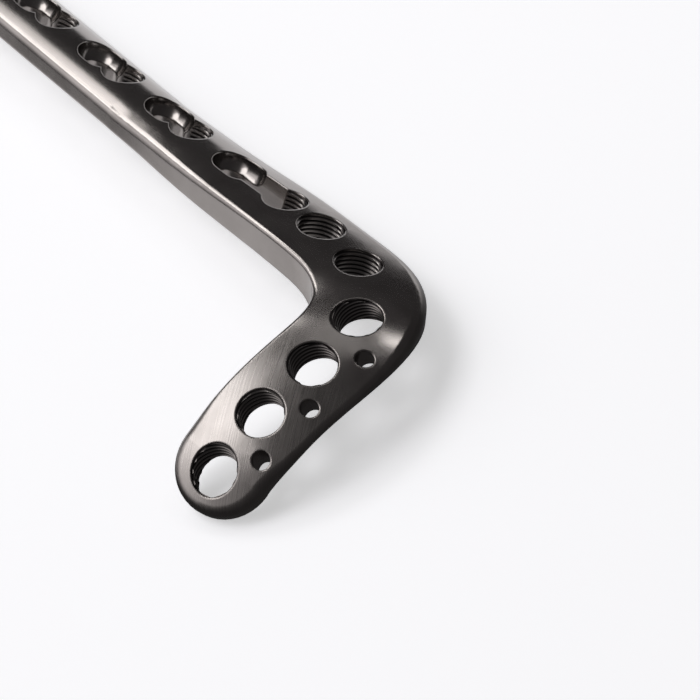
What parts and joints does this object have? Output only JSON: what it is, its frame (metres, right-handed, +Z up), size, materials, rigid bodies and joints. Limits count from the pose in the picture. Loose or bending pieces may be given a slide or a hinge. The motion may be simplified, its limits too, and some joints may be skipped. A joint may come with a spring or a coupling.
{
  "type": "orthopedic bone plate",
  "caption": "Titanium bone plate: a straight shaft with combination screw holes, and a neck and head that turn aside and bend down, with threaded locking holes and small wire holes.",
  "frame": {"origin": "centre of the bounding box on the surface that the plate lies on, as it comes to rest on the edge of its shaft and the tip of its head", "axes": "+Y along the straight shaft, away from the head; +Z up; -X towards the side that the head turns to"},
  "size_m": [0.0362, 0.1274, 0.0092],
  "materials": {
    "bone_plate": "satin titanium, brushed on the head, polished at the edges"
  },
  "bodies": {
    "root": {"bone_plate": "bone_plate"}
  },
  "joints": []
}
